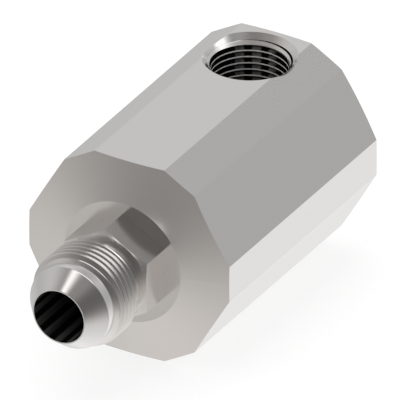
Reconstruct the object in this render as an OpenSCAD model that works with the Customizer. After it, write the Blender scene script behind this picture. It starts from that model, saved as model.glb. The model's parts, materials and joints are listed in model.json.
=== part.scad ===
// Live swivel elbow for hydraulic lines. A turned stem with a flared, threaded nose spins in a
// block of hexagon bar on two rows of balls, and a threaded port leaves the block at a right angle.
// The stem lies along Y with its nose at -Y. The block lies on one wide flat, and the origin is on
// that flat, below the middle of the side port, which points to +Z. All sizes are in millimetres.

/* [Block] */
// Width of the bar across its wide flats
block_af = 46; // [45:0.5:48]
// Width of the narrow flats that cut the bar's corners
corner_flat_w = 8.4; // [4:0.2:10]
// Side port's centre line to the front corners of the block
port_to_front = 50.4; // [49:0.2:54]
// Side port's centre line to the rear corners of the block
port_to_rear = 11.1; // [10.8:0.1:16]
// Slope of the turned cone on each end of the block, in degrees
end_slope = 15; // [10:1:20]
// Diameter of the flat land in the middle of the front end
front_land_d = 28; // [27.4:0.2:32]
// Diameter of the flat rear end inside its cone
rear_land_d = 42; // [36:0.5:45]
// Chamfer at the mouth of the journal's bore
mouth_chamfer = 0.2; // [0.1:0.05:0.4]

/* [Side port] */
// Major diameter of the port's thread
port_thread_d = 18; // [17:0.2:18.6]
// Diameter of the hole drilled for the port's thread
port_drill_d = 16.4; // [15.6:0.1:16.8]
// Depth of the full thread below the block's top flat
port_thread_l = 14.5; // [11:0.5:15.5]
// Length of the thread's run-out below the full thread
port_runout_l = 1.5; // [0.5:0.1:2]
// Point angle of the port's drill, in degrees
drill_point = 118; // [110:2:140]
// Diameter of the 45 degree countersink at the top flat
port_sink_d = 20.4; // [19:0.1:20.8]
// Diameter of the passage from the port to the chamber
port_passage_d = 11; // [8:0.5:12]
// Diameter of the chamber between the stem and the port
chamber_d = 14; // [12.5:0.5:16]
// Chamfer at the closed end of the chamber
chamber_chamfer = 1; // [0.5:0.1:1.5]
// Rear wall left behind the chamber
rear_wall = 6; // [4.5:0.5:7]

/* [Stem nose] */
// Diameter of the bore through the stem
bore_d = 12; // [9:0.5:12.4]
// Width of the flat ring round the bore at the tip
tip_ring_w = 0.2; // [0.1:0.05:0.6]
// Half angle of the flare cone, in degrees
flare_angle = 37; // [35:1:45]
// Diameter of the plain pilot behind the flare cone
pilot_d = 19; // [18:0.1:19.4]
// Major diameter of the nose thread
nose_thread_d = 22; // [21:0.2:23]
// Length of the nose from the hexagon's front to the tip
nose_l = 19.6; // [18.5:0.1:24]
// Length of the pilot and the lead chamfer together
pilot_l = 3.3; // [2.6:0.1:4]
// Length of the full thread
nose_thread_l = 6.4; // [5:0.2:7]
// Slope of the run-out behind the nose thread, in degrees
thread_runout = 30; // [20:5:45]
// Diameter of the relief neck between the thread and the hexagon
relief_d = 17.6; // [16.6:0.2:18.4]
// Radius of the fillet from the relief neck to the hexagon
relief_fillet = 0.8; // [0.4:0.1:1]

/* [Stem hexagon] */
// Width of the stem's hexagon across its flats
hex_af = 20; // [19.8:0.1:22]
// Length of the stem's hexagon
hex_l = 7; // [6:0.5:9]
// Slope of the chamfer on the hexagon's front corners, in degrees
hex_chamfer = 20; // [10:5:30]
// How far the stem's round core stays inside the hexagon's flats
core_inset = 0.2; // [0.1:0.05:0.3]

/* [Stem journal] */
// Diameter of the journal that runs inside the block
journal_d = 19.5; // [18.8:0.1:19.6]
// Length of the journal from the hexagon's back to its end
journal_l = 41.4; // [41.3:0.1:42.4]
// Chamfer on the journal's end
journal_chamfer = 0.5; // [0.2:0.1:0.8]

/* [Ball races] */
// Diameter of the race balls
ball_d = 4; // [3:0.5:4]
// Front land to the middle of the front row
front_row_depth = 14.2; // [14:0.1:15]
// Middle of the front row to the middle of the rear row
row_pitch = 8.5; // [7:0.5:8.5]
// Spare room in the full row, as a share of the ball's diameter
row_play = 0.01; // [0.005:0.005:0.02]
// Where a race pin starts, as a share of the race's radius out from the middle of the race
pin_start = 0.6; // [0.5:0.05:0.7]
// Direction of the ball loading holes round the block, in degrees from +X towards +Z
load_angle = 210; // [210:60:330]
// Major diameter of the socket screws over the loading holes
plug_d = 6; // [5:0.5:6]
// Length of the socket screws
plug_l = 6; // [5:0.5:6]
// Chamfer on both ends of the socket screws
plug_chamfer = 0.4; // [0.2:0.1:0.6]
// Depth of the screw's outer end below the flat
plug_sunk = 0.6; // [0.2:0.2:0.8]
// Chamfer at the mouths of the loading holes
load_chamfer = 0.4; // [0.2:0.1:0.6]
// Width across flats of the screw's socket
socket_af = 3; // [2.5:0.1:3]
// Depth of the screw's socket
socket_l = 3; // [2:0.5:3]

/* [Wiper and seals] */
// Front land to the wiper's groove
wiper_depth = 1.4; // [1:0.1:1.5]
// Width of the wiper's groove
wiper_w = 4; // [3.6:0.1:4]
// Bottom diameter of the wiper's groove
wiper_groove_d = 25.4; // [25.2:0.1:26]
// Length of the wiper's lip in front of its flange
wiper_lip_l = 1; // [0.8:0.1:1.2]
// Thickness of the wiper's lip at its edge
wiper_lip_t = 0.4; // [0.3:0.1:0.6]
// Thickness of the wiper's flange
wiper_flange_t = 0.6; // [0.4:0.1:0.6]
// Section of the ring that loads the wiper
wiper_ring_cs = 1.8; // [1.5:0.1:1.8]
// Front land to the front guide ring's groove
front_guide_depth = 7; // [6.8:0.1:7.2]
// Front land to the rear guide ring's groove
rear_guide_depth = 28.2; // [28:0.1:28.3]
// Width of the guide rings
guide_w = 4; // [3:0.5:4]
// Thickness of the guide rings
guide_t = 1.5; // [1:0.1:2]
// Front land to the grease seal's groove
grease_seal_depth = 25.4; // [25.3:0.1:25.6]
// Section of the grease seal
grease_seal_cs = 1.78; // [1.6:0.02:1.78]
// Front land to the pressure seal's gland
gland_depth = 33.4; // [33.2:0.1:33.4]
// Section of the pressure seal
pressure_seal_cs = 3.53; // [3.2:0.01:3.53]
// Thickness of the backup rings along the stem
backup_w = 1.4; // [1:0.1:1.4]
// How much of its section a rubber ring gives up in its groove
squeeze = 0.15; // [0.1:0.01:0.2]
// Width of the slanting slits in the guide and backup rings
slit_w = 0.3; // [0.2:0.1:0.6]

/* [Clearances] */
// Gap between the hexagon's back and the block's front land
face_gap = 0.1; // [0.05:0.05:0.3]
// Radial gap between the journal and the block's bore
bore_gap = 0.08; // [0.06:0.01:0.1]
// Radial gap between the journal and the rings that bear on it
ring_gap = 0.03; // [0.02:0.01:0.05]
// Gap all round a ball in its race
race_gap = 0.04; // [0.02:0.01:0.06]
// Radial gap round the race pins and the socket screws
pin_gap = 0.02; // [0.01:0.01:0.04]
// Length of bore left beyond the journal's end
end_room = 0.4; // [0.3:0.1:0.5]

/* [Hidden] */
$fn = 96;
over = 1;

axis_z = block_af / 2;
// The narrow flats are a second hexagon, turned by 30 degrees, that cuts the corners of the first.
corner_af = (2 * block_af - corner_flat_w) / sqrt(3);
corner_r = sqrt(pow(corner_af / 2, 2) + pow(corner_flat_w / 2, 2));

// Places along Y.
front_corner_y = -port_to_front;
front_y = front_corner_y - (corner_r - front_land_d / 2) * tan(end_slope);
rear_corner_y = port_to_rear;
rear_y = rear_corner_y + (corner_r - rear_land_d / 2) * tan(end_slope);
hex_back_y = front_y - face_gap;
hex_front_y = hex_back_y - hex_l;
tip_y = hex_front_y - nose_l;
journal_end_y = hex_back_y + journal_l;
bore_end_y = journal_end_y + end_room;
chamber_end_y = rear_corner_y - rear_wall;
front_row_y = front_y + front_row_depth;
rear_row_y = front_row_y + row_pitch;
gland_w = pressure_seal_cs * (1 + squeeze / 2) + 2 * backup_w;

// Radii round the stem's axis.
journal_r = journal_d / 2;
bore_r = journal_r + bore_gap;
ring_in_r = journal_r + ring_gap;
guide_out_r = ring_in_r + guide_t;
gland_r = ring_in_r + pressure_seal_cs * (1 - squeeze);
grease_groove_r = ring_in_r + grease_seal_cs * (1 - squeeze);
wiper_groove_r = wiper_groove_d / 2;

// The wiper's lip, flange and sleeve.
wiper_y = front_y + wiper_depth;
wiper_flange_y = wiper_y + wiper_lip_l;
wiper_sleeve_r = wiper_groove_r - wiper_ring_cs * (1 - squeeze);

// The balls fill each row, so their number follows from the row's own circle.
pitch_r = journal_r + bore_gap / 2;
race_r = ball_d / 2 + race_gap;
ball_count = floor(180 / asin(ball_d * (1 + row_play) / (2 * pitch_r)));
pin_r = ball_d / 2 + race_gap;
pin_start_r = pitch_r + pin_start * race_r;
plug_out_r = block_af / 2 - plug_sunk;
plug_in_r = plug_out_r - plug_l;

steel = [0.66, 0.65, 0.64];
stem_steel = [0.70, 0.69, 0.68];
ball_steel = [0.80, 0.80, 0.82];
dark_steel = [0.25, 0.25, 0.27];
rubber = [0.10, 0.10, 0.11];
ptfe = [0.86, 0.85, 0.80];
bronze_ptfe = [0.55, 0.42, 0.25];
urethane = [0.20, 0.36, 0.62];

// Stands a shape that was made round Z, with its heights as places along Y, on the stem's axis.
module on_axis() {
    translate([0, 0, axis_z])
        rotate([-90, 0, 0])
            children();
}

// Points a shape that was made along Z outwards from the stem's axis, along a loading hole.
module on_loading_hole(y) {
    translate([0, y, axis_z])
        rotate([0, 90 - load_angle, 0])
            children();
}

// A round rod from y1 to y2 round the stem's axis.
module rod(r, y1, y2) {
    translate([0, 0, y1])
        cylinder(r = r, h = y2 - y1);
}

// A cone round the stem's axis, of radius r1 at y1 and r2 at y2.
module cone(r1, y1, r2, y2) {
    translate([0, 0, y1])
        cylinder(r1 = r1, r2 = r2, h = y2 - y1);
}

// The ring-shaped space that a row of balls runs in.
module race(y) {
    translate([0, 0, y])
        rotate_extrude()
            translate([pitch_r, 0])
                circle(r = race_r);
}

// The bar's twelve-sided section: a hexagon with each corner cut by a narrow flat.
module bar_section() {
    intersection() {
        circle(r = block_af / sqrt(3), $fn = 6);
        rotate(30)
            circle(r = corner_af / sqrt(3), $fn = 6);
    }
}

// The block's turned outline, with a land and a shallow cone at each end.
module block_ends() {
    far_r = block_af;
    rotate_extrude()
        polygon([
            [0, front_y],
            [front_land_d / 2, front_y],
            [far_r, front_y + (far_r - front_land_d / 2) * tan(end_slope)],
            [far_r, rear_y - (far_r - rear_land_d / 2) * tan(end_slope)],
            [rear_land_d / 2, rear_y],
            [0, rear_y]]);
}

// What is bored from the front: the journal's bore, its grooves, the races and the chamber.
module front_boring() {
    rod(bore_r, front_y - over, bore_end_y);
    cone(bore_r + mouth_chamfer + over, front_y - over, bore_r, front_y + mouth_chamfer);
    rod(wiper_groove_r, wiper_y, wiper_y + wiper_w);
    rod(guide_out_r, front_y + front_guide_depth, front_y + front_guide_depth + guide_w);
    rod(guide_out_r, front_y + rear_guide_depth, front_y + rear_guide_depth + guide_w);
    rod(grease_groove_r, front_y + grease_seal_depth, front_y + grease_seal_depth + grease_seal_cs);
    rod(gland_r, front_y + gland_depth, front_y + gland_depth + gland_w);
    race(front_row_y);
    race(rear_row_y);
    rod(chamber_d / 2, bore_end_y - over, chamber_end_y - chamber_chamfer);
    cone(chamber_d / 2, chamber_end_y - chamber_chamfer, chamber_d / 2 - chamber_chamfer, chamber_end_y);
}

// What is drilled from the top flat: the countersink, the thread's bore and the passage.
module port_boring() {
    sink_l = (port_sink_d - port_thread_d) / 2;
    drill_tip_l = (port_drill_d - port_passage_d) / 2 / tan(drill_point / 2);
    thread_end_z = block_af - port_thread_l;
    drill_end_z = thread_end_z - port_runout_l;
    translate([0, 0, block_af - sink_l])
        cylinder(d1 = port_thread_d, d2 = port_sink_d + 2 * over, h = sink_l + over);
    translate([0, 0, thread_end_z])
        cylinder(d = port_thread_d, h = port_thread_l);
    translate([0, 0, drill_end_z])
        cylinder(d = port_drill_d, h = port_runout_l + over);
    translate([0, 0, drill_end_z - drill_tip_l])
        cylinder(d1 = port_passage_d, d2 = port_drill_d, h = drill_tip_l);
    translate([0, 0, axis_z])
        cylinder(d = port_passage_d, h = block_af / 2 - port_thread_l);
}

// A loading hole: just wider than a ball, then wider for its screw, with a chamfer at the mouth.
module loading_hole(y) {
    screw_r = plug_d / 2 + pin_gap;
    on_loading_hole(y) {
        translate([0, 0, pitch_r - over])
            cylinder(r = pin_r + pin_gap, h = plug_in_r - pitch_r + 2 * over);
        translate([0, 0, plug_in_r])
            cylinder(r = screw_r, h = block_af);
        translate([0, 0, block_af / 2 - load_chamfer])
            cylinder(r1 = screw_r, r2 = screw_r + load_chamfer + over, h = load_chamfer + over);
    }
}

module block() {
    color(steel)
        difference() {
            on_axis()
                intersection() {
                    translate([0, 0, tip_y])
                        linear_extrude(rear_y + over - tip_y)
                            bar_section();
                    block_ends();
                }
            on_axis()
                front_boring();
            port_boring();
            loading_hole(front_row_y);
            loading_hole(rear_row_y);
        }
}

// The stem's turned half section, from the tip back to the journal's end.
function stem_section() = let (
        tip_r = bore_d / 2 + tip_ring_w,
        cone_end_y = tip_y + (pilot_d / 2 - tip_r) / tan(flare_angle),
        thread_start_y = cone_end_y + pilot_l,
        thread_end_y = thread_start_y + nose_thread_l,
        lead = (nose_thread_d - pilot_d) / 2,
        runout = (nose_thread_d - relief_d) / 2 * tan(thread_runout),
        core_r = hex_af / 2 - core_inset,
        fillet = min(relief_fillet, core_r - relief_d / 2))
    concat([
        [bore_d / 2, tip_y],
        [tip_r, tip_y],
        [pilot_d / 2, cone_end_y],
        [pilot_d / 2, thread_start_y - lead],
        [nose_thread_d / 2, thread_start_y],
        [nose_thread_d / 2, thread_end_y],
        [relief_d / 2, thread_end_y + runout]],
        [for (a = [0:15:90])
            [relief_d / 2 + fillet * (1 - cos(a)), hex_front_y - fillet * (1 - sin(a))]],
        [
        [core_r, hex_front_y],
        [core_r, hex_back_y],
        [journal_r, hex_back_y],
        [journal_r, journal_end_y - journal_chamfer],
        [journal_r - journal_chamfer, journal_end_y],
        [bore_d / 2 + journal_chamfer, journal_end_y],
        [bore_d / 2, journal_end_y - journal_chamfer]]);

// The spanner hexagon, with one corner up, and its front corners turned off by a flat cone.
module stem_hex() {
    hex_corner_r = hex_af / sqrt(3);
    chamfer_l = (hex_corner_r - hex_af / 2) * tan(hex_chamfer);
    difference() {
        intersection() {
            translate([0, 0, hex_front_y])
                rotate(30)
                    cylinder(r = hex_corner_r, h = hex_l, $fn = 6);
            union() {
                cone(hex_af / 2, hex_front_y, hex_corner_r, hex_front_y + chamfer_l);
                rod(hex_corner_r, hex_front_y + chamfer_l, hex_back_y);
            }
        }
        rod(bore_d / 2 + over, hex_front_y - over, hex_back_y + over);
    }
}

module stem() {
    color(stem_steel)
        on_axis()
            difference() {
                union() {
                    rotate_extrude()
                        polygon(stem_section());
                    stem_hex();
                }
                race(front_row_y);
                race(rear_row_y);
            }
}

// One ball of a row. The loading hole lies midway between the last ball and the first.
module ball(y, i) {
    turn = 360 / ball_count;
    color(ball_steel)
        on_axis()
            rotate(turn * (i - 0.5) - load_angle)
                translate([pitch_r, 0, y])
                    sphere(d = ball_d);
}

// The pin that fills a loading hole, with the race carried on across its end.
module race_pin(y) {
    color(dark_steel)
        difference() {
            on_loading_hole(y)
                translate([0, 0, pin_start_r])
                    cylinder(r = pin_r, h = plug_in_r - pin_start_r);
            on_axis()
                race(y);
        }
}

// The socket screw that holds a race pin.
module race_plug(y) {
    color(dark_steel)
        on_loading_hole(y)
            difference() {
                union() {
                    translate([0, 0, plug_in_r])
                        cylinder(d1 = plug_d - 2 * plug_chamfer, d2 = plug_d, h = plug_chamfer);
                    translate([0, 0, plug_in_r + plug_chamfer])
                        cylinder(d = plug_d, h = plug_l - 2 * plug_chamfer);
                    translate([0, 0, plug_out_r - plug_chamfer])
                        cylinder(d1 = plug_d, d2 = plug_d - 2 * plug_chamfer, h = plug_chamfer);
                }
                translate([0, 0, plug_out_r - socket_l])
                    cylinder(r = socket_af / sqrt(3), h = socket_l + over, $fn = 6);
            }
}

// A ring with a slanting slit, so that it can be sprung into its groove.
module split_ring(y, w, out_r) {
    on_axis()
        difference() {
            rod(out_r, y, y + w);
            rod(ring_in_r, y - over, y + w + over);
            translate([out_r, 0, y + w / 2])
                rotate([45, 0, 0])
                    cube([2 * out_r - ring_in_r, slit_w, 3 * w], center = true);
        }
}

// A rubber ring in its groove: round in section, pressed flat where it meets what it seals.
module rubber_ring(y_mid, cs, in_r, out_r) {
    color(rubber)
        on_axis()
            translate([0, 0, y_mid])
                rotate_extrude()
                    intersection() {
                        translate([(in_r + out_r) / 2, 0])
                            circle(d = cs);
                        translate([in_r, -cs])
                            square([out_r - in_r, 2 * cs]);
                    }
}

// The wiper: a sleeve with a flange in the groove, and a lip that leans forward onto the journal.
module dust_wiper() {
    color(urethane)
        on_axis()
            rotate_extrude()
                polygon([
                    [ring_in_r, wiper_y],
                    [ring_in_r + wiper_lip_t, wiper_y],
                    [wiper_sleeve_r, wiper_flange_y],
                    [wiper_groove_r, wiper_flange_y],
                    [wiper_groove_r, wiper_flange_y + wiper_flange_t],
                    [wiper_sleeve_r, wiper_flange_y + wiper_flange_t],
                    [wiper_sleeve_r, wiper_y + wiper_w],
                    [ring_in_r + wiper_lip_t, wiper_y + wiper_w],
                    [ring_in_r + wiper_lip_t, wiper_flange_y + 2 * wiper_flange_t]]);
}

// The rubber ring between the wiper's sleeve and the bottom of the groove.
module wiper_ring() {
    seat_y = (wiper_flange_y + wiper_flange_t + wiper_y + wiper_w) / 2;
    rubber_ring(seat_y, wiper_ring_cs, wiper_sleeve_r, wiper_groove_r);
}

module front_guide_ring() {
    color(bronze_ptfe)
        split_ring(front_y + front_guide_depth, guide_w, guide_out_r);
}

module rear_guide_ring() {
    color(bronze_ptfe)
        split_ring(front_y + rear_guide_depth, guide_w, guide_out_r);
}

module grease_seal() {
    seat_y = front_y + grease_seal_depth + grease_seal_cs / 2;
    rubber_ring(seat_y, grease_seal_cs, ring_in_r, grease_groove_r);
}

module pressure_seal() {
    seat_y = front_y + gland_depth + gland_w / 2;
    rubber_ring(seat_y, pressure_seal_cs, ring_in_r, gland_r);
}

module front_backup_ring() {
    color(ptfe)
        split_ring(front_y + gland_depth, backup_w, gland_r);
}

module rear_backup_ring() {
    color(ptfe)
        split_ring(front_y + gland_depth + gland_w - backup_w, backup_w, gland_r);
}

block();
stem();
dust_wiper();
wiper_ring();
front_guide_ring();
rear_guide_ring();
grease_seal();
pressure_seal();
front_backup_ring();
rear_backup_ring();
race_pin(front_row_y);  // front_race_pin
race_pin(rear_row_y);  // rear_race_pin
race_plug(front_row_y);  // front_race_plug
race_plug(rear_row_y);  // rear_race_plug
for (i = [1:ball_count]) {
    ball(front_row_y, i);
    ball(rear_row_y, i);
}
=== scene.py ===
"""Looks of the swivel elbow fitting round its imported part. Everything is in metres in the CAD frame."""

import json
import math

import bpy
import numpy as np
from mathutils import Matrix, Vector


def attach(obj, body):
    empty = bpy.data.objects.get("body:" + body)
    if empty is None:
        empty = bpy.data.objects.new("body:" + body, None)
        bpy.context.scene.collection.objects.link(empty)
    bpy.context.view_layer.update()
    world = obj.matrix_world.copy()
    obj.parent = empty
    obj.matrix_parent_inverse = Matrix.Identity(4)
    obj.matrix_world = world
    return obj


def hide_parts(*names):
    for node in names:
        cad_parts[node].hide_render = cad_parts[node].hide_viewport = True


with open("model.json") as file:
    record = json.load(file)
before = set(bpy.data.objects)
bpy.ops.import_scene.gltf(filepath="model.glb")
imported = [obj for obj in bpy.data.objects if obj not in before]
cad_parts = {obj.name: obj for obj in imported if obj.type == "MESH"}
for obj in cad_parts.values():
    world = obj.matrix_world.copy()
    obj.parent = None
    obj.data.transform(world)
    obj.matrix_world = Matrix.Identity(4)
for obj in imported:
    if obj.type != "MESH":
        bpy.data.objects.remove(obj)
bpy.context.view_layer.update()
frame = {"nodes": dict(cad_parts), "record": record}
MM = 0.001

# Sizes and places of the part in millimetres, as in its source.
BLOCK_TOP = 46.0
AXIS_Z = BLOCK_TOP / 2
PITCH = 1.5
PORT_R = 9.0
PORT_SINK_R = 10.2
BORE_R = 6.0
TIP_Y = -79.912
CONE_END_Y = -75.533
PILOT_R = 9.5
THREAD_R = 11.0
RELIEF_R = 8.8
HEX_AF = 20.0
HEX_CORE_R = 9.8
BLOCK_FRONT_Y = -53.212
JOURNAL_R = 9.75
JOURNAL_END_Y = -11.912
JOURNAL_CHAMFER = 0.5
RACE_R = 2.04
PITCH_R = 9.79
ROW_YS = (-39.012, -30.512)

# Sizes and places on the stem's nose, measured once more and up to half a millimetre from the source's.
# A bevel is given as its step in radius and its length along the stem.
TIP_R = 6.27
TIP_BEVEL = (0.04, 0.06)
MOUTH_CHAMFER = 0.04
CONE_BEVEL = (0.05, 0.07)
PILOT_BEVEL_L = 0.06
LEAD_START_Y = -73.2
LEAD_SLOPE = math.tan(math.radians(45))
THREAD_END_Y = -65.6
RUN_OUT_SLOPE = math.tan(math.radians(45))
NECK_CONE_END_Y = -62.9
NECK_BACK_R = 8.98
HEX_FRONT_Y = -60.8
HEX_FACE_R = 9.97
HEX_CHAMFER_SLOPE = math.tan(math.radians(15))
# No gap shows behind the hexagon, so it all but touches the block.
HEX_BACK_Y = BLOCK_FRONT_Y - 0.002

# The threads, in millimetres. The nose's ridge stands on its root, and the port's stands in from the wall.
# A metric thread is 0.6134 of its pitch deep outside, and 0.5413 inside.
FLANK_ANGLE = 30
FLANK_SPREAD = math.tan(math.radians(FLANK_ANGLE))
FLANK_SHARES = (-0.06, 0.0, 0.3, 0.6)
CREST_ROUNDING = 0.45
CREST_ANGLES = (60, 45, 30, 15, 0)
NOSE_ROOT_R = THREAD_R - 0.6134 * PITCH
NOSE_CREST_W = PITCH / 8
NOSE_START_Y = -65.2
NOSE_TURNS = 5.7
PORT_CREST_R = PORT_R - 0.5413 * PITCH
PORT_CREST_W = 0.26
PORT_START_Z = 31.62
PORT_TURNS = 9.15
PORT_LIP_Z = 43.6
PORT_LIP_GROWTH = 0.15
PORT_LIP_FADE = 0.4
PORT_WALL_TOP_Z = 44.9
SUNK = 0.03

STEM_COLUMNS = 360
RACE_POINTS = 25
RIDGE_STEPS = 240
SURFACE_SHARP = 15
RIDGE_SHARP = 40


def grid_quads(rows, cols, closed):
    """The corners of a grid's quads. The last row joins the first, and so do the columns if closed."""
    k, j = np.meshgrid(np.arange(rows), np.arange(cols if closed else cols - 1), indexing="ij")
    up = (k + 1) % rows
    on = (j + 1) % cols
    quads = [k * cols + j, k * cols + on, up * cols + on, up * cols + j]
    return np.stack(quads, axis=-1).reshape(-1, 4)


def about_stem(r, turn, y):
    """A point at radius r from the stem's axis and at the angle turn, counted from +X towards +Z."""
    return np.stack([r * np.cos(turn), y, AXIS_Z + r * np.sin(turn)], axis=-1).reshape(-1, 3)


def about_port(r, turn, z):
    """A point at radius r from the side port's axis and at the angle turn, counted from +X towards +Y."""
    return np.stack([r * np.cos(turn), r * np.sin(turn), z], axis=-1).reshape(-1, 3)


def faces_outward(verts, quads):
    """Whether the quads face outward: their corners' triple products, from the middle, add up above 0."""
    a, b, c, d = np.moveaxis((verts - verts.mean(axis=0))[quads], 1, 0)
    return np.sum(a * (np.cross(b, c) + np.cross(c, d))) > 0


def mesh_object(name, verts, quads, caps, body, sharp, finish):
    """A closed piece from points in millimetres, with edges over the angle sharp kept sharp."""
    faces = quads.tolist() + caps
    if not faces_outward(verts, quads):
        faces = [face[::-1] for face in faces]
    mesh = bpy.data.meshes.new(name)
    mesh.from_pydata((verts * MM).tolist(), [], faces)
    mesh.validate()
    mesh.polygons.foreach_set("use_smooth", [True] * len(mesh.polygons))
    mesh.set_sharp_from_angle(angle=math.radians(sharp))
    mesh.materials.append(finish)
    obj = bpy.data.objects.new(name, mesh)
    bpy.context.scene.collection.objects.link(obj)
    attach(obj, body)
    return obj


# The stem's surface.
def hexagon_radius(turn):
    """From the axis to the side of a hexagon with a corner straight up: half its width over the cosine of the
    angle to the middle of the nearest side."""
    side = np.pi / 3
    return HEX_AF / 2 / np.cos((turn + side / 2) % side - side / 2)


def race_arc(row_y):
    """The half section of a ball race: an arc about the balls' pitch radius, from edge to edge."""
    half = math.acos((PITCH_R - JOURNAL_R) / RACE_R)
    angles = np.linspace(-half, half, RACE_POINTS)
    return [(PITCH_R - RACE_R * math.cos(a), row_y + RACE_R * math.sin(a)) for a in angles]


def nose_section():
    """Radius and place of each point of the nose: flare, pilot, lead cone, thread root, run-out and neck."""
    lead_end_y = LEAD_START_Y + (NOSE_ROOT_R - PILOT_R) / LEAD_SLOPE
    return [
        (TIP_R - TIP_BEVEL[0], TIP_Y),
        (TIP_R + TIP_BEVEL[0], TIP_Y + TIP_BEVEL[1]),
        (PILOT_R - CONE_BEVEL[0], CONE_END_Y - CONE_BEVEL[1]),
        (PILOT_R, CONE_END_Y + PILOT_BEVEL_L),
        (PILOT_R, LEAD_START_Y),
        (NOSE_ROOT_R, lead_end_y),
        (NOSE_ROOT_R, THREAD_END_Y + (THREAD_R - NOSE_ROOT_R) * RUN_OUT_SLOPE),
        (RELIEF_R, THREAD_END_Y + (THREAD_R - RELIEF_R) * RUN_OUT_SLOPE),
        (NECK_BACK_R, NECK_CONE_END_Y),
        (NECK_BACK_R, HEX_FRONT_Y)]


def hexagon_section(turn):
    """The spanner hexagon in the directions turn. A flat cone from its round face meets the front corners."""
    r = hexagon_radius(turn)
    return [
        (HEX_FACE_R, HEX_FRONT_Y),
        (r, HEX_FRONT_Y + (r - HEX_FACE_R) * HEX_CHAMFER_SLOPE),
        (r, HEX_BACK_Y),
        (HEX_CORE_R, HEX_BACK_Y)]


def journal_section():
    """The journal with its two ball races, and the bore back to its mouth at the tip."""
    front_race, rear_race = (race_arc(row_y) for row_y in ROW_YS)
    return [
        (JOURNAL_R, HEX_BACK_Y),
        *front_race,
        *rear_race,
        (JOURNAL_R, JOURNAL_END_Y - JOURNAL_CHAMFER),
        (JOURNAL_R - JOURNAL_CHAMFER, JOURNAL_END_Y),
        (BORE_R + JOURNAL_CHAMFER, JOURNAL_END_Y),
        (BORE_R, JOURNAL_END_Y - JOURNAL_CHAMFER),
        (BORE_R, TIP_Y + MOUTH_CHAMFER),
        (BORE_R + MOUTH_CHAMFER, TIP_Y)]


def stem_surface():
    """The stem as one closed surface: its half section, turned about the axis. Row k and column j of the grid
    lie at radius radii[k, j] and place ys[k, j], and only the hexagon's rows change with the direction."""
    turn = 2 * np.pi * np.arange(STEM_COLUMNS) / STEM_COLUMNS
    section = nose_section() + hexagon_section(turn) + journal_section()
    radii = np.array([np.broadcast_to(r, STEM_COLUMNS) for r, _ in section])
    ys = np.array([np.broadcast_to(y, STEM_COLUMNS) for _, y in section])
    return about_stem(radii, turn, ys), grid_quads(len(section), STEM_COLUMNS, True)


# Both threads.
def ridge_section(depth, crest_w):
    """The section of a thread's ridge, as offsets from its middle and shares of its depth: straight flanks
    that start a little inside the wall, and a crest with both edges rounded."""
    round_r = crest_w * CREST_ROUNDING
    corner = crest_w / 2 - round_r * FLANK_SPREAD
    half = [(crest_w / 2 + (1 - share) * depth * FLANK_SPREAD, share) for share in FLANK_SHARES]
    for a in np.radians(CREST_ANGLES):
        half.append((corner + round_r * math.sin(a), 1 - (round_r - round_r * math.cos(a)) / depth))
    offsets = [-w for w, _ in half] + [w for w, _ in reversed(half)]
    shares = [share for _, share in half] + [share for _, share in reversed(half)]
    return np.array(offsets)[:, None], np.array(shares)[:, None]


def thread_ridge(point, base_r, crest_r, crest_w, start, lead, turns, limit, lip_from=None):
    """A helical ridge as a closed strip: its middle is at the height start + lead * angle / one turn, and
    each point of the section at its own offset from there. limit(height) is the radius that a cone cuts the
    ridge back to, and past the height lip_from its outer side is filled up to that cone."""
    inward = crest_r < base_r
    offsets, shares = ridge_section(abs(crest_r - base_r), crest_w)
    count = int(turns * RIDGE_STEPS)
    turn = 2 * np.pi * np.arange(count + 1) / RIDGE_STEPS
    middle = start + lead * turn / (2 * np.pi)
    heights = middle + offsets
    cut = limit(heights)
    radii = base_r + (crest_r - base_r) * shares + np.zeros_like(heights)
    if lip_from is not None:
        full = np.clip((middle - lip_from) / PORT_LIP_GROWTH, 0, 1) * (offsets > 0)
        radii = radii + full * (np.maximum(cut, crest_r) - radii)
    if inward:
        radii = np.maximum(radii, cut + np.where(cut > base_r, SUNK, 0.0))
    else:
        radii = np.minimum(radii, cut - np.where(cut <= base_r, SUNK, 0.0))
    rows = len(offsets)
    first = np.arange(rows) * (count + 1)
    caps = [first[::-1].tolist(), (first + count).tolist()]
    return point(radii, turn, heights), grid_quads(rows, count + 1, False), caps


def nose_limit(y):
    """The lead cone in front of the nose thread, its major radius, and the run-out cone behind it."""
    lead = PILOT_R + (y - LEAD_START_Y) * LEAD_SLOPE
    run_out = THREAD_R - (y - THREAD_END_Y) / RUN_OUT_SLOPE
    return np.minimum(np.minimum(lead, run_out), THREAD_R)


def port_limit(z):
    """The countersink's cone of 45 degrees, carried on down into the port."""
    return PORT_SINK_R - (BLOCK_TOP - z)


# The finishes.
STEEL = (0.8, 0.786, 0.772)
STEEL_ROUGH = 0.2
THREAD_ROUGH = 0.3
CLOUD_DEPTH = 0.04
# Painted highlight: a bright, matt colour for the face at the tip.
TIP_PAINTED_HIGHLIGHT = (0.95, 0.94, 0.93)
# Painted highlight: a bright, matt colour for the crests of the port's thread.
PORT_CREST = (0.85, 0.835, 0.82)
# Painted shade: black for the stem's bore, the port's wall and the flanks of its thread.
PAINTED_SHADE_BLACK = (0.004, 0.004, 0.004)
# Painted light: the greys of the lighter bars in that painted shade.
PAINTED_LIGHT_BAR = (0.09, 0.088, 0.085)
PORT_LIGHT_BAR = (0.2, 0.19, 0.18)
# How many bars of painted light go round, and the angle that turns them, in degrees.
STEM_LIGHT_BARS = (13.0, 213.0)
PORT_LIGHT_BARS = (15.0, 42.0)
# How far past its own surface each zone of painted shade or painted highlight reaches, in millimetres.
WALL_MARGIN = 0.01
BORE_MARGIN = 0.02
TIP_MARGIN = 0.02
SINK_MARGIN = 0.05
FLANK_FADE = (0.03, 0.07)
CLOUD_SCALE = 90.0
GRAIN_SCALE = 400.0
# The side of the port's wall that shows the bars of painted light, as a direction from its axis, and where
# they fade in.
LIGHT_BARS_SIDE = (-0.42, 0.91)
LIGHT_BARS_FADE = (6.8, 7.8)


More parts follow.
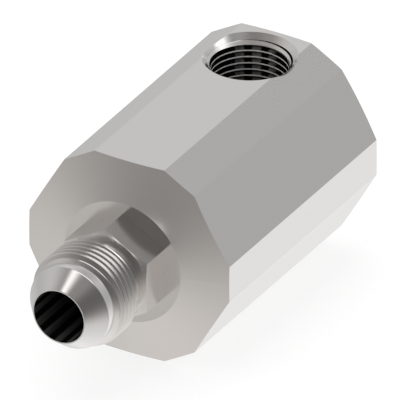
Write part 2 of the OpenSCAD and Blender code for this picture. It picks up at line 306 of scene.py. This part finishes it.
class Tree:
    """The nodes of a material or of the world. Each call adds a node and gives its result."""

    def __init__(self, owner):
        owner.use_nodes = True
        self.nodes = owner.node_tree.nodes
        self.links = owner.node_tree.links
        self.nodes.clear()

    def feed(self, socket, value):
        """Links a result to the socket, or sets the socket to a number, a vector or a colour."""
        if isinstance(value, bpy.types.NodeSocket):
            self.links.new(value, socket)
        elif socket.type == "RGBA":
            socket.default_value = (*value, 1.0)
        else:
            socket.default_value = value

    def maths(self, operation, *values, clamp=False):
        node = self.nodes.new("ShaderNodeMath")
        node.operation = operation
        node.use_clamp = clamp
        for socket, value in zip(node.inputs, values):
            self.feed(socket, value)
        return node.outputs[0]

    def product(self, first, *others):
        for other in others:
            first = self.maths("MULTIPLY", first, other)
        return first

    def noise(self, vector, scale, detail):
        node = self.nodes.new("ShaderNodeTexNoise")
        node.inputs["Scale"].default_value = scale
        node.inputs["Detail"].default_value = detail
        self.feed(node.inputs["Vector"], vector)
        return node.outputs[0]

    def band(self, value, low, high):
        """0 below low, 1 above high and smooth between."""
        node = self.nodes.new("ShaderNodeMapRange")
        node.interpolation_type = "SMOOTHSTEP"
        self.feed(node.inputs["Value"], value)
        node.inputs["From Min"].default_value = low
        node.inputs["From Max"].default_value = high
        return node.outputs[0]

    def mix_value(self, factor, a, b):
        node = self.nodes.new("ShaderNodeMix")
        node.data_type = "FLOAT"
        for i, value in ((0, factor), (2, a), (3, b)):
            self.feed(node.inputs[i], value)
        return node.outputs[0]

    def mix_colour(self, factor, a, b):
        node = self.nodes.new("ShaderNodeMix")
        node.data_type = "RGBA"
        for i, value in ((0, factor), (6, a), (7, b)):
            self.feed(node.inputs[i], value)
        return node.outputs[2]

    def object_place(self):
        return self.nodes.new("ShaderNodeTexCoord").outputs["Object"]

    def place_from(self, centre):
        """The object's x, y and z, counted from a centre in millimetres."""
        shift = self.nodes.new("ShaderNodeVectorMath")
        shift.operation = "SUBTRACT"
        self.feed(shift.inputs[0], self.object_place())
        shift.inputs[1].default_value = Vector(centre) * MM
        apart = self.nodes.new("ShaderNodeSeparateXYZ")
        self.feed(apart.inputs[0], shift.outputs[0])
        return apart.outputs

    def radius(self, a, b):
        """The root of a squared plus b squared."""
        return self.maths("SQRT", self.maths("ADD", self.product(a, a), self.product(b, b)))

    def towards(self, direction, vector):
        """How far a direction agrees with a vector."""
        node = self.nodes.new("ShaderNodeVectorMath")
        node.operation = "DOT_PRODUCT"
        self.feed(node.inputs[0], direction)
        node.inputs[1].default_value = Vector(vector).normalized()
        return node.outputs["Value"]


def new_finish(name):
    """A material with one shader: the material, its tree and the shader's inputs."""
    mat = bpy.data.materials.new(name)
    tree = Tree(mat)
    out = tree.nodes.new("ShaderNodeOutputMaterial")
    shader = tree.nodes.new("ShaderNodeBsdfPrincipled")
    tree.feed(out.inputs[0], shader.outputs[0])
    return mat, tree, shader.inputs


def turned_steel(name, rough):
    """Steel's shader, with a faint cloudiness in its gloss."""
    mat, tree, steel = new_finish(name)
    cloud = tree.noise(tree.object_place(), CLOUD_SCALE, 3.0)
    tree.feed(steel["Roughness"], tree.maths("MULTIPLY_ADD", cloud, CLOUD_DEPTH, rough - CLOUD_DEPTH / 2))
    return mat, tree, steel


def painted_shade(tree, steel, dark, bars, colour, bar_colour):
    """Painted shade: the colour, but black with bars of painted light where dark is 1, and there without
    gloss.
    """
    tree.feed(steel["Specular IOR Level"], tree.mix_value(dark, 0.5, 0.0))
    return tree.mix_colour(dark, colour, tree.mix_colour(bars, PAINTED_SHADE_BLACK, bar_colour))


def painted_light_bars(tree, a, b, count, phase):
    """Soft bars of painted light along an axis: the sine of the angle round it, count times over, some of
    them fainter.
    """
    angle = tree.maths("ARCTAN2", a, b)
    wave = tree.maths("SINE", tree.maths("ADD", tree.product(angle, count), math.radians(phase)))
    vector = tree.nodes.new("ShaderNodeCombineXYZ")
    tree.feed(vector.inputs[0], angle)
    uneven = tree.band(tree.noise(vector.outputs[0], 2.0, 1.0), 0.2, 0.6)
    return tree.product(tree.band(wave, -0.5, 0.5), uneven)


def port_painted_light_bars(tree, x, y):
    """Bars of painted light on the rear wall of the port only."""
    rearward = tree.maths("ADD", tree.product(x, LIGHT_BARS_SIDE[0]), tree.product(y, LIGHT_BARS_SIDE[1]))
    fade = tree.band(rearward, LIGHT_BARS_FADE[0] * MM, LIGHT_BARS_FADE[1] * MM)
    return tree.product(painted_light_bars(tree, x, y, *PORT_LIGHT_BARS), fade)


def block_finish():
    """The block's steel, with painted shade on the port's wall below the countersink."""
    mat, tree, steel = turned_steel("block_steel", STEEL_ROUGH)
    x, y, z = tree.place_from((0, 0, 0))
    inside = tree.maths("LESS_THAN", tree.radius(x, y), (PORT_R + WALL_MARGIN) * MM)
    low = tree.maths("LESS_THAN", z, PORT_WALL_TOP_Z * MM)
    above_stem = tree.maths("GREATER_THAN", z, AXIS_Z * MM)
    # Painted shade: black and without gloss on the port's wall, below the countersink and above the stem.
    wall = tree.product(inside, low, above_stem)
    tree.feed(steel["Base Color"], painted_shade(tree, steel, wall, port_painted_light_bars(tree, x, y), STEEL, PAINTED_LIGHT_BAR))
    tree.feed(steel["Metallic"], tree.mix_value(wall, 1.0, 0.0))
    return mat


def stem_finish():
    """The stem's steel, with painted shade in its bore and a painted highlight at the tip: a bright, matt
    ring.
    """
    mat, tree, steel = turned_steel("stem_steel", STEEL_ROUGH)
    x, y, z = tree.place_from((0, 0, AXIS_Z))
    # Painted shade: black and without gloss inside the bore.
    bore = tree.maths("LESS_THAN", tree.radius(x, z), (BORE_R + BORE_MARGIN) * MM)
    colour = painted_shade(tree, steel, bore, painted_light_bars(tree, x, z, *STEM_LIGHT_BARS), STEEL, PAINTED_LIGHT_BAR)
    # Painted highlight: the face at the tip is bright, matt and without metal.
    behind_tip = tree.maths("GREATER_THAN", y, (TIP_Y + TIP_MARGIN) * MM)
    tree.feed(steel["Base Color"], tree.mix_colour(behind_tip, TIP_PAINTED_HIGHLIGHT, colour))
    tree.feed(steel["Metallic"], tree.product(tree.mix_value(bore, 1.0, 0.0), behind_tip))
    return mat


def port_thread_finish():
    """The port's thread: painted shade on the flanks, a painted highlight on the crests, which are bright and
    matt, and a lip of bare metal.
    """
    mat, tree, steel = turned_steel("port_thread_steel", THREAD_ROUGH)
    x, y, z = tree.place_from((0, 0, 0))
    r = tree.radius(x, y)
    # Painted shade on the flanks below the countersink, and a painted highlight on the crests.
    flank = tree.band(r, (PORT_CREST_R + FLANK_FADE[0]) * MM, (PORT_CREST_R + FLANK_FADE[1]) * MM)
    sink_r = tree.maths("ADD", z, (PORT_SINK_R - BLOCK_TOP) * MM)
    under_sink = tree.maths("GREATER_THAN", tree.maths("SUBTRACT", r, sink_r), SINK_MARGIN * MM)
    dark = tree.product(flank, under_sink)
    tree.feed(steel["Base Color"], painted_shade(tree, steel, dark, port_painted_light_bars(tree, x, y), PORT_CREST, PORT_LIGHT_BAR))
    tree.feed(steel["Metallic"], tree.band(z, PORT_LIP_Z * MM, (PORT_LIP_Z + PORT_LIP_FADE) * MM))
    return mat


def plain_finish(name, colour, rough, metallic=0.0):
    """A finish whose colour varies a little with a fine grain."""
    mat, tree, shader = new_finish(name)
    grain = tree.noise(tree.object_place(), GRAIN_SCALE, 3.0)
    darker = tuple(c * 0.88 for c in colour)
    tree.feed(shader["Base Color"], tree.mix_colour(grain, darker, colour))
    shader["Roughness"].default_value = rough
    shader["Metallic"].default_value = metallic
    return mat


finishes = {
    "block_steel": block_finish(),
    "stem_steel": stem_finish(),
    "ball_steel": plain_finish("ball_steel", (0.8, 0.8, 0.82), 0.08, 1.0),
    "hard_steel": plain_finish("hard_steel", (0.45, 0.45, 0.46), 0.3, 1.0),
    "black_steel": plain_finish("black_steel", (0.08, 0.08, 0.085), 0.45, 0.8),
    "seal_rubber": plain_finish("seal_rubber", (0.03, 0.03, 0.032), 0.6),
    "wiper_urethane": plain_finish("wiper_urethane", (0.1, 0.22, 0.45), 0.4),
    "backup_plastic": plain_finish("backup_plastic", (0.85, 0.84, 0.8), 0.5),
    "bearing_strip": plain_finish("bearing_strip", (0.4, 0.3, 0.18), 0.5),
}
for part in frame["record"]["subparts"]:
    node = frame["nodes"][part["node"]]
    node.data.materials.clear()
    node.data.materials.append(finishes[part["material_slot"]])

# The pieces that the scene adds.
verts, quads = stem_surface()
stem_steel = finishes["stem_steel"]
stem = mesh_object("stem_surface", verts, quads, [], "spindle", SURFACE_SHARP, stem_steel)
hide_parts("stem")

verts, quads, caps = thread_ridge(
    about_stem, NOSE_ROOT_R, THREAD_R, NOSE_CREST_W, NOSE_START_Y, -PITCH, NOSE_TURNS, nose_limit)
mesh_object("nose_thread_ridge", verts, quads, caps, "spindle", RIDGE_SHARP, stem_steel)

verts, quads, caps = thread_ridge(
    about_port, PORT_R, PORT_CREST_R, PORT_CREST_W, PORT_START_Z, PITCH, PORT_TURNS, port_limit, PORT_LIP_Z)
port_steel = port_thread_finish()
mesh_object("port_thread_ridge", verts, quads, caps, "housing", RIDGE_SHARP, port_steel)

# The floor: pale, and white where the camera or a mirror sees it in full light.
FLOOR_SIZE = 6.0
FLOOR_DROP = 0.0002
FLOOR_GREY = (0.35, 0.35, 0.35)
FLOOR_GLOW = 0.78


def floor_finish():
    """A matt grey with a glow that only rays from the camera, a mirror or a glass meet."""
    mat = bpy.data.materials.new("floor_white")
    tree = Tree(mat)
    out = tree.nodes.new("ShaderNodeOutputMaterial")
    both = tree.nodes.new("ShaderNodeAddShader")
    matt = tree.nodes.new("ShaderNodeBsdfDiffuse")
    tree.feed(matt.inputs["Color"], FLOOR_GREY)
    glow = tree.nodes.new("ShaderNodeEmission")
    path = tree.nodes.new("ShaderNodeLightPath").outputs
    mirrored = tree.maths("ADD", path["Is Glossy Ray"], path["Is Transmission Ray"])
    seen = tree.maths("ADD", path["Is Camera Ray"], mirrored, clamp=True)
    tree.feed(glow.inputs["Strength"], tree.product(seen, FLOOR_GLOW))
    tree.feed(both.inputs[0], matt.outputs[0])
    tree.feed(both.inputs[1], glow.outputs[0])
    tree.feed(out.inputs[0], both.outputs[0])
    return mat


bpy.ops.mesh.primitive_plane_add(size=FLOOR_SIZE, location=(0, 0, -FLOOR_DROP))
floor = bpy.context.object
floor.name = "floor"
floor.visible_glossy = False
floor.data.materials.append(floor_finish())

# What the metal mirrors: soft panels round the object, each with a direction, a sharpness and a strength.
SOFT_PANELS = (
    ((-0.93, 0.1, 0.35), 5.0, 0.38),
    ((-0.7, -0.35, 0.6), 10.0, 0.24),
    ((-0.43, 0.78, 0.45), 8.0, 0.47),
    ((0.6, 0.75, 0.3), 5.0, 0.26),
    ((0.55, 0.65, 0.5), 15.0, 0.05),
    ((0.35, 0.8, 0.5), 12.0, 0.16),
    ((0.05, 0.65, -0.75), 9.0, 0.5),
    ((0.35, 0.75, -0.55), 20.0, 0.17),
    ((-0.25, 0.4, -0.88), 30.0, 0.15),
    ((-0.5, 0.7, -0.5), 6.0, 0.35),
    ((-0.84, 0.5, -0.2), 25.0, 0.2),
    ((0.2, -0.1, -1.0), 4.0, 0.65),
    ((0.6, 0.0, -0.8), 20.0, 0.06),
    ((0.78, -0.3, -0.55), 14.0, 0.38),
    ((0.35, -0.75, -0.5), 15.0, 0.14),
    ((0.0, -0.85, -0.55), 9.0, 0.16),
    ((-0.52, -0.84, -0.1), 10.0, 0.1),
    ((-0.8, -0.4, -0.45), 8.0, 0.33),
    ((-0.3, -0.45, -0.85), 5.0, 0.23),
    ((0.0, 1.0, 0.0), 27.0, 0.12),
    ((-0.1, 0.88, -0.46), 40.0, 0.18),
    ((-0.04, 1.0, -0.04), 90.0, 1.1),
    ((0.6, 0.65, -0.45), 12.0, 0.42),
    ((0.48, -0.2, 0.86), 30.0, 0.17),
    ((0.02, -0.5, 0.86), 25.0, 0.08),
    ((0.38, -0.28, 0.88), 40.0, 0.08),
)
BASE_LIGHT = 0.12
# A long softbox overhead, bright on the inner side of four planes through the object.
SOFTBOX_EDGES = ((-0.53, 0.85, 0.28), (0.55, -0.8, 0.32), (1.0, 0.0, 0.35), (-0.8, -0.6, 1.55))
SOFTBOX_FADE = 0.08
SOFTBOX_STRENGTH = 1.3
# What lights the matt surfaces, and the tint of the panels in front of the object.
ROOM_LIGHT = 0.6
WHITE = (1.0, 1.0, 1.0)
WARM_WHITE = (1.0, 0.96, 0.925)
FRONT = (0.0, -1.0, 0.0)


def studio():
    """The world: a mirror sees the base light, each panel as its strength times the exponential of its
    sharpness times the agreement less 1, and the softbox. Matt surfaces get an even light, and the camera
    sees white."""
    world = bpy.data.worlds.new("studio")
    tree = Tree(world)
    direction = tree.nodes.new("ShaderNodeTexCoord").outputs["Generated"]
    mirrored = BASE_LIGHT
    for vector, sharpness, strength in SOFT_PANELS:
        near = tree.maths("SUBTRACT", tree.towards(direction, vector), 1.0)
        panel = tree.product(tree.maths("EXPONENT", tree.product(near, sharpness)), strength)
        mirrored = tree.maths("ADD", panel, mirrored)
    edges = [tree.band(tree.towards(direction, edge), -SOFTBOX_FADE, SOFTBOX_FADE) for edge in SOFTBOX_EDGES]
    mirrored = tree.maths("ADD", mirrored, tree.product(SOFTBOX_STRENGTH, *edges))
    path = tree.nodes.new("ShaderNodeLightPath").outputs
    level = tree.mix_value(path["Is Glossy Ray"], ROOM_LIGHT, mirrored)
    level = tree.mix_value(path["Is Camera Ray"], level, 1.0)
    front_side = tree.mix_colour(tree.band(tree.towards(direction, FRONT), 0.0, 0.5), WHITE, WARM_WHITE)
    background = tree.nodes.new("ShaderNodeBackground")
    tree.feed(background.inputs["Color"], tree.mix_colour(path["Is Glossy Ray"], WHITE, front_side))
    tree.feed(background.inputs["Strength"], level)
    tree.feed(tree.nodes.new("ShaderNodeOutputWorld").inputs[0], background.outputs[0])
    return world


bpy.context.scene.world = studio()

# The lamp, in metres and watts.
LAMP_WIDTH = 0.6
LAMP_LENGTH = 0.9
LAMP_POWER = 1.2
LAMP_PLACE = (-0.09, 0.0, 0.7)
LAMP_TILT = math.radians(-8.5)


def overhead_lamp():
    """A wide lamp overhead, a little to the left, for the floor's soft shadow. Mirrors don't see it."""
    data = bpy.data.lights.new("overhead_softbox", "AREA")
    data.shape = "RECTANGLE"
    data.size = LAMP_WIDTH
    data.size_y = LAMP_LENGTH
    data.energy = LAMP_POWER
    lamp = bpy.data.objects.new("overhead_softbox", data)
    bpy.context.scene.collection.objects.link(lamp)
    lamp.location = LAMP_PLACE
    lamp.rotation_euler = (0, LAMP_TILT, 0)
    lamp.visible_glossy = False


overhead_lamp()

# The camera: a parallel view, with its middle, its width and its distance in millimetres.
VIEW_TURN = math.radians(30)
VIEW_RISE = math.radians(30)
VIEW_MIDDLE = (9.85, -37.97, 33.11)
VIEW_WIDTH = 83.6
VIEW_DISTANCE = 400.0


def parallel_camera():
    level = math.cos(VIEW_RISE)
    back = Vector((math.sin(VIEW_TURN) * level, -math.cos(VIEW_TURN) * level, math.sin(VIEW_RISE)))
    data = bpy.data.cameras.new("camera")
    data.type = "ORTHO"
    data.ortho_scale = VIEW_WIDTH * MM
    data.clip_start = 0.01
    data.clip_end = 10.0
    camera = bpy.data.objects.new("camera", data)
    bpy.context.scene.collection.objects.link(camera)
    camera.rotation_mode = "QUATERNION"
    camera.rotation_quaternion = (-back).to_track_quat("-Z", "Y")
    camera.location = (Vector(VIEW_MIDDLE) + back * VIEW_DISTANCE) * MM
    return camera


bpy.context.scene.camera = parallel_camera()
bpy.context.scene.view_settings.view_transform = "Standard"
